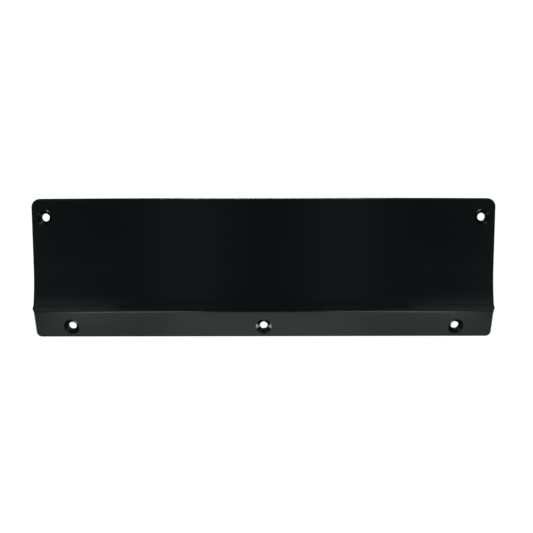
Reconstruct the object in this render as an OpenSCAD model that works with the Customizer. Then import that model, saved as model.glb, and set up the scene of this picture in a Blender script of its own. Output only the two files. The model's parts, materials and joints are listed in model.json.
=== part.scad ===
// Kick plate: one sheet of metal, formed into a gently dished upper panel and a lower flange
// that turns back under it, with five countersunk screw holes.
// Millimetres. X runs along the plate, -Y points to the side that faces the feet, +Z is up.
// The origin is the middle screw hole of the flange, at the flange's back face.

/* [Sheet] */
// Length of the plate, end to end
plate_w = 300; // [200:1:420]
// Thickness of the sheet
sheet_t = 3.4; // [3:0.1:4.8]
// How far the middle of the top edge stands above its ends
top_crown = 0.5; // [0.2:0.1:2]

/* [Upper panel] */
// Length of the flat stretch, down from the top edge
flat_len = 45; // [30:0.5:60]
// How far the flat stretch leans forward at the top, in degrees
flat_lean = 5; // [2:0.5:8]
// Radius of the hollow below the flat stretch, on the front
hollow_r = 110; // [80:5:200]
// How far the hollow's lower end leans back at its top, in degrees
hollow_lean = 7.6; // [3:0.1:10]
// Radius of the two top corners
top_corner_r = 5.5; // [3:0.5:8]

/* [Flange] */
// Length of the flange, from the bend to the bottom edge
flange_len = 17.3; // [16:0.1:30]
// How far the flange turns back from upright, in degrees
flange_tilt = 19.2; // [10:0.1:35]
// Inside radius of the bend
bend_r = 8.6; // [4:0.1:15]
// Radius of the two bottom corners
bottom_corner_r = 3.5; // [3:0.5:7]
// How far the metal swells past each end of the bend
swell = 0.7; // [0.2:0.1:1]
// Half the height of each swelling
swell_half_h = 1.8; // [1:0.1:3]

/* [Screw holes] */
// Diameter of the screw holes
hole_d = 5; // [4.6:0.1:5.6]
// Diameter of the countersinks at the front face
sink_d = 10.2; // [8:0.1:10.2]
// Full angle of the countersink's cone, in degrees
sink_angle = 100; // [82:1:110]
// Distance between the two upper holes
upper_spacing = 282.8; // [180:0.2:285]
// Distance of the upper holes below the top edge, along the panel
upper_drop = 12.5; // [8:0.1:25]
// Distance between neighbouring lower holes
lower_spacing = 126; // [60:1:135]
// Distance of the lower holes above the bottom edge, along the flange
lower_rise = 7.5; // [7.3:0.1:8.4]

/* [Hidden] */
coat_black = "#15181a";
round_fn = 96;
curve_steps = 16;                            // flats along each curve of the section
over = 1;                                    // how far a cutter runs past the metal
front_bend_r = bend_r + sheet_t;
crown_steps = 12;
trim_reach = 200;
swell_r = (pow(swell_half_h, 2) + pow(swell, 2)) / (2 * swell);
sink_slope = tan(sink_angle / 2);
sink_depth = (sink_d - hole_d) / 2 / sink_slope;
lower_from_bend = flange_len - lower_rise;

// The front face is followed downwards, as [y, z] points. A lean of a degrees goes to +y.
function down(a) = [sin(a), -cos(a)];
function inward(a) = [cos(a), sin(a)];

// The front face from the lower holes up: points, and centres of its curves
hole_point = -sheet_t * inward(flange_tilt);
bend_low = hole_point - lower_from_bend * down(flange_tilt);
bend_centre = bend_low + front_bend_r * inward(flange_tilt);
bend_high = bend_centre - front_bend_r * inward(-hollow_lean);
hollow_centre = bend_high - hollow_r * inward(-hollow_lean);
flat_low = hollow_centre + hollow_r * inward(flat_lean);
flat_high = flat_low - flat_len * down(flat_lean);
flange_end = bend_low + flange_len * down(flange_tilt);
bend_mid_tilt = (flange_tilt - hollow_lean) / 2;

// Points of one face, from the top edge to the bottom edge, at a depth below the front face
function face_points(depth) = [
    flat_high + depth * inward(flat_lean),
    for (i = [0:curve_steps])
        let (a = flat_lean - (flat_lean + hollow_lean) * i / curve_steps)
            hollow_centre + (hollow_r + depth) * inward(a),
    for (i = [1:curve_steps])
        let (a = -hollow_lean + (flange_tilt + hollow_lean) * i / curve_steps)
            bend_centre - (front_bend_r - depth) * inward(a),
    flange_end + depth * inward(flange_tilt)
];

// Section of the formed sheet, with y across and z up
module sheet_section() {
    front = face_points(0);
    back = face_points(sheet_t);
    polygon([for (p = front) p, for (i = [len(back) - 1:-1:0]) back[i]]);
}

// The section run along X, long enough to hold the swellings at the ends of the bend
module formed_strip() {
    length = plate_w + 2 * swell;
    translate([-length / 2, 0, 0]) rotate([90, 0, 90])
        linear_extrude(height = length) sheet_section();
}

// Places children on the front face at [y, z], with local +Z out of the sheet and +Y up it
module on_face(x, point, lean) {
    translate([x, point[0], point[1]]) rotate([90 + lean, 0, 0]) children();
}

// Rounds one corner: what lies outside a quarter circle is cut away
module corner_cut(r, side, up) {
    difference() {
        translate([side > 0 ? -r : -over, up > 0 ? -r : -over, -sheet_t - over])
            cube([r + over, r + over, sheet_t + 2 * over]);
        translate([-side * r, -up * r, -sheet_t - 2 * over])
            cylinder(r = r, h = sheet_t + 4 * over, $fn = round_fn);
    }
}

// Countersunk screw hole, at the face it starts from
module screw_hole() {
    translate([0, 0, -sheet_t - over])
        cylinder(d = hole_d, h = sheet_t + 2 * over, $fn = round_fn);
    translate([0, 0, -sink_depth])
        cylinder(d1 = hole_d, d2 = sink_d + 2 * over * sink_slope, h = sink_depth + over,
                 $fn = round_fn);
}

// Trims one end square, but leaves the metal that the bend squeezes out past it
module end_trim(side) {
    mid_point = bend_centre - front_bend_r * inward(bend_mid_tilt);
    difference() {
        translate([side > 0 ? plate_w / 2 : -plate_w / 2 - swell - over, -trim_reach, -trim_reach])
            cube([swell + over, 2 * trim_reach, 2 * trim_reach]);
        on_face(side * (plate_w / 2 + swell - swell_r), mid_point, bend_mid_tilt)
            translate([0, 0, -sheet_t - over])
                cylinder(r = swell_r, h = sheet_t + 2 * over, $fn = round_fn);
    }
}

// What lies above the crowned top edge
module crown_cut() {
    on_face(0, flat_high, flat_lean) translate([0, 0, -sheet_t - over])
        linear_extrude(height = sheet_t + 2 * over) polygon([
            for (i = [-crown_steps:crown_steps])
                [i / crown_steps * (plate_w / 2 + over), -top_crown * pow(i / crown_steps, 2)],
            [plate_w / 2 + over, over],
            [-plate_w / 2 - over, over]
        ]);
}

module kick_plate() {
    color(coat_black) difference() {
        formed_strip();
        crown_cut();
        for (side = [-1, 1]) {
            end_trim(side);
            on_face(side * plate_w / 2, flat_high, flat_lean)
                translate([0, -top_crown, 0]) corner_cut(top_corner_r, side, 1);
            on_face(side * plate_w / 2, flange_end, flange_tilt)
                corner_cut(bottom_corner_r, side, -1);
            on_face(side * upper_spacing / 2, flat_high + upper_drop * down(flat_lean), flat_lean)
                screw_hole();
        }
        for (place = [-1, 0, 1])
            on_face(place * lower_spacing, hole_point, flange_tilt) screw_hole();
    }
}

kick_plate();
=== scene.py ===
import json
import math

import bmesh
import bpy
import numpy as np
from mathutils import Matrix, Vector
from mathutils.geometry import delaunay_2d_cdt


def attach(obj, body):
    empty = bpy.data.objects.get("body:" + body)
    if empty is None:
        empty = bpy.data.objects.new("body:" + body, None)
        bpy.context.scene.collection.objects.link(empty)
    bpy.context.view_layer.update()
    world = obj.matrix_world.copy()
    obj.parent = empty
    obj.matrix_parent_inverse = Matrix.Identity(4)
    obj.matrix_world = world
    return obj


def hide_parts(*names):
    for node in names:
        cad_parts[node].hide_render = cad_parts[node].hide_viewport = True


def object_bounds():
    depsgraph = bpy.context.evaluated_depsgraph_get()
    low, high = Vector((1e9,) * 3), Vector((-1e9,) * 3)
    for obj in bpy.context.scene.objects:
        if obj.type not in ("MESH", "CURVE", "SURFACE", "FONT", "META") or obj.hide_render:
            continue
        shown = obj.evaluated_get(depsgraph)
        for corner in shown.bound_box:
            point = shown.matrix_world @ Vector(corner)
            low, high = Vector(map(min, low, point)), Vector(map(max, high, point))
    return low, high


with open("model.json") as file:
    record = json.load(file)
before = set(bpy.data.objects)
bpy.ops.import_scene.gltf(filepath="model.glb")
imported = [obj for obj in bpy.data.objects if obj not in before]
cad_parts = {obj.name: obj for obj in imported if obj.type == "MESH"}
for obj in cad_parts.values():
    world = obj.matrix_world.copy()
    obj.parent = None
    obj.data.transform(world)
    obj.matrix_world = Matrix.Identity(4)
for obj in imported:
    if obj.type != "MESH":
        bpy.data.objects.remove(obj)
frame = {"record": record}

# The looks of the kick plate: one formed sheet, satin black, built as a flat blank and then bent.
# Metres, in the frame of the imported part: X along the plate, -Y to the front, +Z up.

cad_low, cad_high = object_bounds()
MM = 0.001

# --- Driving dimensions of the sheet --------------------------------------------------------
SHEET = 3.4 * MM
SWELL = 0.7 * MM                 # how far the bend's ends swell past the sides
SWELL_REACH = 1.5 * MM           # how far the swelling spreads along the sides
SWELL_AT_FRONT = 0.75            # share of the swell at the front face; it is whole at the back
CROWN = 0.5 * MM                 # rise of the top edge's middle over its ends
FLAT_LEN = 45.0 * MM             # flat stretch at the top
HOLLOW_R = 110.0 * MM            # hollow below it, on the front
HOLLOW_LEAN = math.radians(7.6)  # lean of the hollow's lower end, towards the front
BEND_R = 8.6 * MM                # inside radius of the bend
FLANGE_LEN = 17.3 * MM
LOWER_RISE = 7.5 * MM            # flange holes above the bottom edge
UPPER_DROP = 12.5 * MM           # upper holes below the top edge
TOP_CORNER_R = 5.5 * MM
BOTTOM_CORNER_R = 3.5 * MM
SINK_R = 5.1 * MM                # countersink at the front face
SINK_HALF_ANGLE = math.radians(50)

# --- Finish of the edges, which the coat softens --------------------------------------------
FRONT_ROUND = 1.2 * MM
BACK_ROUND = 0.6 * MM
LIP_ROUND = 0.2 * MM             # outer rim of a countersink
BORE_ROUND = 0.15 * MM           # both ends of a bore

# --- How finely the mesh is divided ---------------------------------------------------------
ARC_STEPS = 7                    # about this many rows of faces across a rounded edge
LONG_EDGE_POINTS = 121
TOP_CORNER_POINTS = 13
BOTTOM_CORNER_POINTS = 11
HOLE_STEPS = 72
GRID_COLUMNS = 121
FILL_MARGIN = FRONT_ROUND + 0.2 * MM  # gap between the grid of a face and its edge and holes

# --- From the frame -------------------------------------------------------------------------
PLATE_W = cad_high[0] - cad_low[0] - 2 * SWELL
HALF_W = PLATE_W / 2
MOUNTS = {m["name"]: m for m in frame["record"]["mounts"]}
SCREW_HOLES = [m for m in MOUNTS.values() if m["kind"] == "bore"]
BORE_R = SCREW_HOLES[0]["dims"]["r_mm"] * MM


def lean_of(mount):
    """Lean of the sheet at a mount, from the way its axis points."""
    axis = MOUNTS[mount]["axis"]
    return math.atan2(-axis[2], -axis[1])


FLANGE_TILT = lean_of("lower_middle_screw_hole")
FLAT_LEAN = lean_of("upper_left_screw_hole")


# --- The formed section ---------------------------------------------------------------------
def down(lean):
    """Down the sheet's face, as (y, z)."""
    return np.array([math.sin(lean), -math.cos(lean)])


def inward(lean):
    """From the front face into the sheet, as (y, z)."""
    return np.array([math.cos(lean), math.sin(lean)])


# Places on the front face, and the centres of its curves, as (y, z). The origin is the middle
# flange hole at the back face.
HOLE_POINT = -SHEET * inward(FLANGE_TILT)
BEND_LOW = HOLE_POINT - (FLANGE_LEN - LOWER_RISE) * down(FLANGE_TILT)
BEND_CENTRE = BEND_LOW + (BEND_R + SHEET) * inward(FLANGE_TILT)
BEND_HIGH = BEND_CENTRE - (BEND_R + SHEET) * inward(-HOLLOW_LEAN)
HOLLOW_CENTRE = BEND_HIGH - HOLLOW_R * inward(-HOLLOW_LEAN)
FLAT_LOW = HOLLOW_CENTRE + HOLLOW_R * inward(FLAT_LEAN)
FLAT_HIGH = FLAT_LOW - FLAT_LEN * down(FLAT_LEAN)

# Lengths down the front face from the top edge.
HOLLOW_LEN = HOLLOW_R * (FLAT_LEAN + HOLLOW_LEAN)
BEND_LEN = (BEND_R + SHEET) * (FLANGE_TILT + HOLLOW_LEAN)
HOLLOW_START = FLAT_LEN
BEND_START = HOLLOW_START + HOLLOW_LEN
FLANGE_START = BEND_START + BEND_LEN
BLANK_LEN = FLANGE_START + FLANGE_LEN
BEND_MIDDLE = BEND_START + BEND_LEN / 2


def section(v):
    """Front point (y, z) and lean of the sheet, at v down the front face from the top edge."""
    if v <= HOLLOW_START:
        return FLAT_HIGH + v * down(FLAT_LEAN), FLAT_LEAN
    if v <= BEND_START:
        lean = FLAT_LEAN - (v - HOLLOW_START) / HOLLOW_R
        return HOLLOW_CENTRE + HOLLOW_R * inward(lean), lean
    if v <= FLANGE_START:
        lean = -HOLLOW_LEAN + (v - BEND_START) / (BEND_R + SHEET)
        return BEND_CENTRE - (BEND_R + SHEET) * inward(lean), lean
    return BEND_LOW + (v - FLANGE_START) * down(FLANGE_TILT), FLANGE_TILT


def formed(x, v, depth):
    """A point of the flat blank, bent to shape: depth is how far it lies below the front face."""
    front, lean = section(v)
    y, z = front + depth * inward(lean)
    return (x, y, z)


def formed_normal(normal, v):
    """A direction on the flat blank (across, down, into the sheet), turned with the sheet."""
    lean = section(v)[1]
    y, z = normal[1] * down(lean) + normal[2] * inward(lean)
    return (normal[0], y, z)


# --- The flat blank -------------------------------------------------------------------------
class Blank:
    """Points of the flat blank as (across, down, depth), their normals, and the faces."""

    def __init__(self):
        self.points, self.normals, self.faces = [], [], []

    def add_points(self, points, normals):
        """Adds points and returns their numbers."""
        first = len(self.points)
        self.points += points
        self.normals += normals
        return list(range(first, len(self.points)))

    def join(self, a, b):
        """Quads between two closed loops of the same length."""
        n = len(a)
        for i in range(n):
            j = (i + 1) % n
            self.faces.append((a[i], a[j], b[j], b[i]))


def arc(centre, radius, start, end, count):
    """Points round an arc, with the angles in degrees, 0 along +x and 90 along +v."""
    angles = np.radians(np.linspace(start, end, count))
    return [(centre[0] + radius * math.cos(a), centre[1] + radius * math.sin(a)) for a in angles]


def rows_between(stretches):
    """Places along stretches of (start, end, points) that follow each other, without the first."""
    return np.concatenate([np.linspace(start, end, count)[1:] for start, end, count in stretches])


def swelling(v, share):
    """How far the side stands out at v. share is 0 at the front face and 1 at the back."""
    rise = math.exp(-(((v - BEND_MIDDLE) / SWELL_REACH) ** 2))
    return SWELL * rise * (SWELL_AT_FRONT + (1 - SWELL_AT_FRONT) * share)


def outline():
    """The blank's edge, clockwise from the top left, as (x, v)."""
    top = CROWN + TOP_CORNER_R
    low = BLANK_LEN - BOTTOM_CORNER_R
    top_x = HALF_W - TOP_CORNER_R
    low_x = HALF_W - BOTTOM_CORNER_R
    about_bend = 4 * MM          # the sides are divided finely as far as this from the bend
    side = rows_between([
        (top, BEND_START - about_bend, 34),
        (BEND_START - about_bend, FLANGE_START + about_bend, 41),
        (FLANGE_START + about_bend, low, 6),
    ])
    points = [(x, CROWN * (x / HALF_W) ** 2) for x in np.linspace(-top_x, top_x, LONG_EDGE_POINTS)]
    points += arc((top_x, top), TOP_CORNER_R, -90, 0, TOP_CORNER_POINTS)[1:]
    points += [(HALF_W, v) for v in side]
    points += arc((low_x, low), BOTTOM_CORNER_R, 0, 90, BOTTOM_CORNER_POINTS)[1:]
    points += [(x, BLANK_LEN) for x in np.linspace(low_x, -low_x, LONG_EDGE_POINTS)[1:]]
    points += arc((-low_x, low), BOTTOM_CORNER_R, 90, 180, BOTTOM_CORNER_POINTS)[1:]
    points += [(-HALF_W, v) for v in side[::-1][1:]] + [(-HALF_W, top)]
    points += arc((-top_x, top), TOP_CORNER_R, 180, 270, TOP_CORNER_POINTS)[1:-1]
    return np.array(points)


def outward(points):
    """Unit normals of a closed outline that runs clockwise as seen from the front."""
    ahead, behind = np.roll(points, -1, 0), np.roll(points, 1, 0)
    along = ahead - behind
    along /= np.linalg.norm(along, axis=1)[:, None]
    return np.stack([along[:, 1], -along[:, 0]], 1)


def edge_profile():
    """The sheet's edge from the front face to the back.

    Rows of (inset, depth, the normal's share outward, its share into the sheet).
    """
    rows = []
    turns = np.radians(np.linspace(0, 90, ARC_STEPS + 1))
    for a in turns:
        inset = FRONT_ROUND * (1 - math.sin(a))
        depth = FRONT_ROUND * (1 - math.cos(a))
        rows.append((inset, depth, math.sin(a), -math.cos(a)))
    for a in turns:
        inset = BACK_ROUND * (1 - math.cos(a))
        depth = SHEET - BACK_ROUND * (1 - math.sin(a))
        rows.append((inset, depth, math.cos(a), math.sin(a)))
    return rows


def hole_profile():
    """A screw hole from the front face to the back: lip, cone, bore and back rim.

    Rows of (radius, depth, the normal's share to the axis, its share into the sheet).
    """
    rows = []
    upright = math.radians(90)
    slope = upright - SINK_HALF_ANGLE
    lip_in = LIP_ROUND * math.tan(slope / 2)
    for a in np.linspace(0, slope, ARC_STEPS):
        radius = SINK_R + lip_in - LIP_ROUND * math.sin(a)
        depth = LIP_ROUND * (1 - math.cos(a))
        rows.append((radius, depth, math.sin(a), -math.cos(a)))
    sink_depth = (SINK_R - BORE_R) / math.tan(SINK_HALF_ANGLE)
    heel = BORE_ROUND * math.tan((upright - slope) / 2)
    for a in np.linspace(slope, upright, ARC_STEPS):
        radius = BORE_R + BORE_ROUND * (1 - math.sin(a))
        depth = sink_depth + heel - BORE_ROUND * math.cos(a)
        rows.append((radius, depth, math.sin(a), -math.cos(a)))
    for a in np.linspace(0, upright, ARC_STEPS):
        radius = BORE_R + BORE_ROUND * (1 - math.cos(a))
        depth = SHEET - BORE_ROUND * (1 - math.sin(a))
        rows.append((radius, depth, math.cos(a), math.sin(a)))
    return rows


def add_edge(blank):
    """The rounded edge all round the blank. Returns its front and back loops."""
    points = outline()
    normals = outward(points)
    loops = []
    for inset, depth, out_share, in_share in edge_profile():
        share = depth / SHEET
        ring, ring_normals = [], []
        for (x, v), (nx, nv) in zip(points, normals):
            side = math.copysign(swelling(v, share) * abs(nx), nx)
            ring.append((x - inset * nx + side, v - inset * nv, depth))
            ring_normals.append((out_share * nx, out_share * nv, in_share))
        loops.append(blank.add_points(ring, ring_normals))
    for a, b in zip(loops, loops[1:]):
        blank.join(a, b)
    return loops[0], loops[-1]


def hole_places():
    """Where the screw holes lie on the blank, as (x, v)."""
    places = []
    for mount in SCREW_HOLES:
        low = mount["name"].startswith("lower")
        v = BLANK_LEN - LOWER_RISE if low else UPPER_DROP
        places.append((mount["pos_m"][0], v))
    return places


def add_hole(blank, x, v):
    """A countersunk hole. Returns its loops on the front and back faces."""
    turns = np.linspace(0, 2 * math.pi, HOLE_STEPS, endpoint=False)
    loops = []
    for radius, depth, to_axis, in_share in hole_profile():
        ring = [(x + radius * math.cos(a), v + radius * math.sin(a), depth) for a in turns]
        normals = [(-to_axis * math.cos(a), -to_axis * math.sin(a), in_share) for a in turns]
        loops.append(blank.add_points(ring, normals))
    # The other way round than the edge, because a hole's wall faces its own axis.
    for a, b in zip(loops, loops[1:]):
        blank.join(b, a)
    return loops[0], loops[-1]


def inside_edge(x, v):
    """True where a point of the blank lies clear of its edge."""
    if min(HALF_W - abs(x), v - CROWN, BLANK_LEN - v) < FILL_MARGIN:
        return False
    if v < BLANK_LEN / 2:
        radius = TOP_CORNER_R
        centre_v = CROWN + radius
        beyond = v < centre_v
    else:
        radius = BOTTOM_CORNER_R
        centre_v = BLANK_LEN - radius
        beyond = v > centre_v
    centre_x = HALF_W - radius
    in_corner = beyond and abs(x) > centre_x
    return not in_corner or math.hypot(abs(x) - centre_x, v - centre_v) <= radius - FILL_MARGIN


def grid_points(places, hole_r):
    """A grid over the blank, clear of its edge and holes, with rows closest where it curves."""
    rows = rows_between([
        (0, HOLLOW_START, 19),
        (HOLLOW_START, BEND_START, 21),
        (BEND_START, FLANGE_START, 17),
        (FLANGE_START, BLANK_LEN, 8),
    ])[:-1]
    columns = np.linspace(-HALF_W, HALF_W, GRID_COLUMNS)[1:-1]
    reach = hole_r + FILL_MARGIN

    def in_hole(x, v):
        return any(math.hypot(x - px, v - pv) < reach for px, pv in places)

    return [(x, v) for v in rows for x in columns if inside_edge(x, v) and not in_hole(x, v)]


def closed_run(first, count):
    """The edges of a closed loop of points, numbered from first."""
    return [(first + i, first + (i + 1) % count) for i in range(count)]


def fill_face(blank, edge, rims, places, depth, facing):
    """Fills one face between its edge and its holes. facing is -1 for the front, 1 for the back."""
    ids = list(edge)
    edges = closed_run(0, len(edge))
    for rim in rims:
        edges += closed_run(len(ids), len(rim))
        ids += rim
    hole_r = math.dist(blank.points[rims[0][0]][:2], places[0])
    inner = grid_points(places, hole_r)
    ids += blank.add_points([(x, v, depth) for x, v in inner], [(0, 0, facing)] * len(inner))
    # In millimetres, which suit the filler's tolerance.
    verts = [Vector(blank.points[i][:2]) * (1 / MM) for i in ids]
    whole_edge = [list(range(len(edge)))]
    inside_only, tolerance = 1, 1e-5
    made = delaunay_2d_cdt(verts, edges, whole_edge, inside_only, tolerance)
    faces, sources = made[2], made[3]
    # The filler closes the holes too, with faces that touch nothing but a rim: those are left out.
    rim_sets = [set(rim) for rim in rims]
    for face in faces:
        corners = [ids[sources[i][0]] for i in face]
        if any(rim.issuperset(corners) for rim in rim_sets):
            continue
        blank.faces.append(tuple(corners if facing > 0 else corners[::-1]))


def blank_mesh():
    """The blank, bent into the finished sheet."""
    blank = Blank()
    front_edge, back_edge = add_edge(blank)
    places = hole_places()
    rims = [add_hole(blank, x, v) for x, v in places]
    fill_face(blank, front_edge, [front for front, back in rims], places, 0, -1)
    fill_face(blank, back_edge, [back for front, back in rims], places, SHEET, 1)
    mesh = bpy.data.meshes.new("formed_sheet")
    mesh.from_pydata([formed(*p) for p in blank.points], [], blank.faces)
    work = bmesh.new()
    work.from_mesh(mesh)
    bmesh.ops.recalc_face_normals(work, faces=work.faces)
    work.to_mesh(mesh)
    work.free()
    mesh.shade_smooth()
    normals = [formed_normal(n, p[1]) for n, p in zip(blank.normals, blank.points)]
    mesh.normals_split_custom_set_from_vertices(normals)
    return mesh


# --- Materials ------------------------------------------------------------------------------
# Where a Mix node keeps its colour sockets.
COLOUR_A, COLOUR_B, COLOUR_OUT = 6, 7, 2

COAT_DARK = (0.0026, 0.0032, 0.0033)
COAT_LIGHT = (0.0040, 0.0048, 0.0050)
COAT_GLOSSIEST = 0.16            # roughness
COAT_DULLEST = 0.19
PEEL_PER_M = 900.0               # scales of the noise, in its repeats per metre
GRAIN_PER_M = 5200.0
PATCHES_PER_M = 22.0
PEEL_DEPTH = 0.2 * MM
GRAIN_DEPTH = 0.05 * MM
BUMP_STRENGTH = 0.05             # both are softened to this share
FLOOR_DARK = (0.86, 0.86, 0.86)
FLOOR_LIGHT = (0.89, 0.89, 0.89)


def new_material(name):
    """An empty material, and a function that adds a node to it.

    The function takes the node's inputs by name, as values or as sockets to link, and its settings.
    """
    material = bpy.data.materials.new(name)
    material.use_nodes = True
    tree = material.node_tree
    tree.nodes.clear()

    def add(kind, inputs=None, **settings):
        node = tree.nodes.new(kind)
        for key, value in settings.items():
            setattr(node, key, value)
        for key, value in (inputs or {}).items():
            if isinstance(value, bpy.types.NodeSocket):
                tree.links.new(value, node.inputs[key])
            else:
                node.inputs[key].default_value = value
        return node

    return material, add


def colour_between(add, share, dark, light):
    """A colour between two, by the share."""
    mix = add("ShaderNodeMix", {"Factor": share}, data_type="RGBA")
    mix.inputs[COLOUR_A].default_value = (*dark, 1)
    mix.inputs[COLOUR_B].default_value = (*light, 1)
    return mix.outputs[COLOUR_OUT]


def satin_black_coat():
    """Black powder coat: satin, with a fine even peel and faint uneven patches of gloss."""
    material, add = new_material("satin_black_coat")
    where = add("ShaderNodeTexCoord").outputs["Object"]
    peel = add("ShaderNodeTexNoise", {"Vector": where, "Scale": PEEL_PER_M, "Detail": 3.0})
    grain = add("ShaderNodeTexNoise", {"Vector": where, "Scale": GRAIN_PER_M, "Detail": 2.0})
    patches = add("ShaderNodeTexNoise", {"Vector": where, "Scale": PATCHES_PER_M, "Detail": 4.0})
    gloss = add("ShaderNodeMapRange", {
        "Value": patches.outputs["Fac"], "From Min": 0.3, "From Max": 0.7,
        "To Min": COAT_GLOSSIEST, "To Max": COAT_DULLEST})
    shade = colour_between(add, grain.outputs["Fac"], COAT_DARK, COAT_LIGHT)
    low = add("ShaderNodeBump", {
        "Height": peel.outputs["Fac"], "Strength": BUMP_STRENGTH, "Distance": PEEL_DEPTH})
    fine = add("ShaderNodeBump", {
        "Height": grain.outputs["Fac"], "Strength": BUMP_STRENGTH, "Distance": GRAIN_DEPTH,
        "Normal": low.outputs["Normal"]})
    shader = add("ShaderNodeBsdfPrincipled", {
        "Base Color": shade, "Roughness": gloss.outputs["Result"],
        "Normal": fine.outputs["Normal"], "IOR": 1.5})
    add("ShaderNodeOutputMaterial", {"Surface": shader.outputs["BSDF"]})
    return material


def pale_floor_paint():
    """Matt white floor with a faint mottle."""
    material, add = new_material("pale_floor_paint")
    where = add("ShaderNodeTexCoord").outputs["Object"]
    mottle = add("ShaderNodeTexNoise", {"Vector": where, "Scale": 30.0, "Detail": 3.0})
    tone = colour_between(add, mottle.outputs["Fac"], FLOOR_DARK, FLOOR_LIGHT)
    shader = add("ShaderNodeBsdfPrincipled", {
        "Base Color": tone, "Roughness": 0.9, "Specular IOR Level": 0.1})
    add("ShaderNodeOutputMaterial", {"Surface": shader.outputs["BSDF"]})
    return material


# --- Pieces ---------------------------------------------------------------------------------
def add_plate():
    """The formed sheet, in place of the CAD solid."""
    plate = bpy.data.objects.new("kick_plate_sheet", blank_mesh())
    bpy.context.collection.objects.link(plate)
    plate.data.materials.append(satin_black_coat())
    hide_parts("kick_plate")
    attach(plate, "root")


# --- Camera ---------------------------------------------------------------------------------
CAMERA_DISTANCE = 375.0 * MM                 # from the deepest line of the hollow
CAMERA_ASIDE = 1.9 * MM
CAMERA_ABOVE_FLANGE_END = 46.5 * MM
CAMERA_ROLL = math.radians(0.1)
SENSOR_WIDTH = 36.0                          # mm
LENS_PER_SENSOR = 1.0800                     # focal length as a share of the picture's width


def aim(thing, place, target):
    """Puts a light or a camera at a place, facing a target."""
    thing.location = place
    thing.rotation_euler = (Vector(target) - Vector(place)).to_track_quat("-Z", "Y").to_euler()


def add_camera():
    """The camera, square on to the plate. Returns its height."""
    data = bpy.data.cameras.new("camera")
    data.sensor_width = SENSOR_WIDTH
    data.lens = SENSOR_WIDTH * LENS_PER_SENSOR
    camera = bpy.data.objects.new("camera", data)
    bpy.context.collection.objects.link(camera)
    flange_end = BEND_LOW + FLANGE_LEN * down(FLANGE_TILT)
    height = float(flange_end[1] + CAMERA_ABOVE_FLANGE_END)
    deepest_y = HOLLOW_CENTRE[0] + HOLLOW_R
    place = (CAMERA_ASIDE, deepest_y - CAMERA_DISTANCE, height)
    aim(camera, place, (CAMERA_ASIDE, 0, height))
    camera.rotation_euler.rotate_axis("Z", -CAMERA_ROLL)
    bpy.context.scene.camera = camera
    return height


# --- Lights ---------------------------------------------------------------------------------
COOL = (0.78, 1.0, 1.06)
PALE = (0.87, 1.0, 0.97)
FLOOR_DROP = 300.0 * MM          # floor below the plate
FLOOR_FRONT = 0.12               # begins behind the plate, so that the flange doesn't mirror it
FLOOR_BACK = 6.0
FLOOR_HALF = 3.0
BACKDROP_STRENGTH = 1.05         # what the camera sees past the object
ROOM_STRENGTH = 0.046            # what the coat mirrors where there is no light
SUN_STRENGTH = 3.9
SUN_SPREAD = math.radians(20)


def ahead_of(place):
    """The point of the plate's plane straight in front of a light."""
    return (place[0], 0, place[2])


def above(place):
    """A point straight above a light that lies flat."""
    return (place[0], place[1], 1)


def add_light(name, kind):
    """A light of a kind. Returns its object and its data."""
    data = bpy.data.lights.new(name, kind)
    light = bpy.data.objects.new(name, data)
    bpy.context.collection.objects.link(light)
    return light, data


def add_softbox(name, place, target, size, glow, tint):
    """A rectangular light. glow is its brightness, where a sunlit white floor is about 1."""
    light, data = add_light(name, "AREA")
    data.shape = "RECTANGLE"
    data.size, data.size_y = size
    data.energy = glow * math.pi * size[0] * size[1]
    data.color = tint
    aim(light, place, target)
    light.visible_camera = False


def add_pair(name, place, target, size, glow, tint):
    """The same softbox on the left and on the right. place and target are the right one's."""
    for side, hand in ((-1, "left"), (1, "right")):
        side_place = (side * place[0], place[1], place[2])
        side_target = (side * target[0], target[1], target[2])
        add_softbox(f"{name}_{hand}", side_place, side_target, size, glow, tint)


def add_sun(target):
    """Soft light on the floor, from above and a little behind."""
    sun, data = add_light("sky", "SUN")
    data.energy = SUN_STRENGTH
    data.angle = SUN_SPREAD
    aim(sun, (0, 0.35, 1.2), target)


def light_panel(eye_z):
    """Dim cards in front of the panel, which mirrors them in upright bands."""
    card = (0, -1.05, eye_z)
    add_softbox("front_card", card, ahead_of(card), size=(2.0, 1.1), glow=0.04, tint=COOL)
    strip = (0.185, -1.0, eye_z - 0.10)
    add_pair("front_strip", strip, ahead_of(strip), size=(0.16, 0.50), glow=0.10, tint=COOL)
    card = (0.84, -1.0, eye_z - 0.05)
    add_pair("end_card", card, ahead_of(card), size=(0.50, 0.60), glow=0.25, tint=COOL)
    card = (0.70, -0.9, eye_z + 0.33)
    add_pair("high_card", card, ahead_of(card), size=(0.72, 0.40), glow=0.32, tint=COOL)


def light_hollow(eye_z):
    """Low cards for the hollow's lower end, which grows lighter towards the plate's ends."""
    card = (0.155, -0.08, 0.005)
    add_pair("lip_card", card, ahead_of(card), size=(0.08, 0.026), glow=0.25, tint=COOL)
    add_pair("low_card", (0.525, -0.7, eye_z - 0.345), (0.06, 0, 0.01),
             size=(0.45, 0.21), glow=0.41, tint=COOL)


def light_bend_and_flange():
    """Narrow strips that draw the line on the bend, and flat cards below the flange."""
    add_pair("inner_bend_strip", (0.14, -0.405, -0.268), (0, 0, 0.01),
             size=(0.09, 0.03), glow=3.6, tint=PALE)
    add_pair("outer_bend_strip", (0.245, -0.405, -0.294), (0.05, 0, 0.01),
             size=(0.12, 0.03), glow=4.35, tint=PALE)
    card = (0, -0.3175, -0.31)
    add_softbox("flange_card", card, above(card), size=(0.274, 0.185), glow=0.94, tint=PALE)
    card = (0.237, -0.3175, -0.31)
    add_pair("flange_end_card", card, above(card), size=(0.20, 0.185), glow=0.61, tint=PALE)


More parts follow.
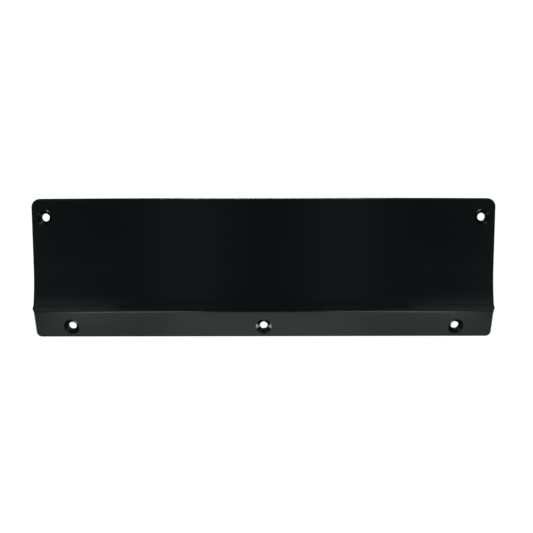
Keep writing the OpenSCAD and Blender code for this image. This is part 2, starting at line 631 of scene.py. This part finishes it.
def light_edges(eye_z):
    """Boxes that the top edge and the walls of the countersinks mirror, and one for the back."""
    add_softbox("top_card", (0.03, -0.66, eye_z + 0.83), (0, 0, eye_z + 0.04),
                size=(0.50, 0.26), glow=6.5, tint=PALE)
    add_pair("side_box", (0.534, -0.065, -0.262), (0, 0, 0),
             size=(0.175, 0.24), glow=6.5, tint=PALE)
    add_pair("low_side_box", (0.45, 0.09, -0.37), (0, 0, 0),
             size=(0.18, 0.16), glow=6.5, tint=PALE)
    add_pair("rear_card", (0.5, 1.2, eye_z + 0.5), (0, 0, eye_z),
             size=(0.6, 0.9), glow=1.0, tint=PALE)


# --- Floor and backdrop ---------------------------------------------------------------------
def add_floor(z):
    """A pale floor that starts behind the plate."""
    mesh = bpy.data.meshes.new("floor")
    corners = [(-FLOOR_HALF, FLOOR_FRONT, z), (FLOOR_HALF, FLOOR_FRONT, z),
               (FLOOR_HALF, FLOOR_BACK, z), (-FLOOR_HALF, FLOOR_BACK, z)]
    mesh.from_pydata(corners, [], [(0, 1, 2, 3)])
    floor = bpy.data.objects.new("floor", mesh)
    bpy.context.collection.objects.link(floor)
    mesh.materials.append(pale_floor_paint())


def set_world():
    """White where the camera looks past the object, and dim for what the coat mirrors."""
    world = bpy.data.worlds.new("studio")
    bpy.context.scene.world = world
    world.use_nodes = True
    tree = world.node_tree
    tree.nodes.clear()
    path = tree.nodes.new("ShaderNodeLightPath")
    seen = tree.nodes.new("ShaderNodeBackground")
    seen.inputs["Color"].default_value = (1, 1, 1, 1)
    seen.inputs["Strength"].default_value = BACKDROP_STRENGTH
    room = tree.nodes.new("ShaderNodeBackground")
    room.inputs["Color"].default_value = (*COOL, 1)
    room.inputs["Strength"].default_value = ROOM_STRENGTH
    mix = tree.nodes.new("ShaderNodeMixShader")
    out = tree.nodes.new("ShaderNodeOutputWorld")
    tree.links.new(path.outputs["Is Camera Ray"], mix.inputs["Fac"])
    tree.links.new(room.outputs[0], mix.inputs[1])
    tree.links.new(seen.outputs[0], mix.inputs[2])
    tree.links.new(mix.outputs[0], out.inputs["Surface"])


add_plate()
eye_height = add_camera()
add_floor(cad_low[2] - FLOOR_DROP)
set_world()
add_sun(((cad_low[0] + cad_high[0]) / 2, 0, eye_height))
light_panel(eye_height)
light_hollow(eye_height)
light_bend_and_flange()
light_edges(eye_height)
bpy.context.scene.view_settings.view_transform = "Standard"
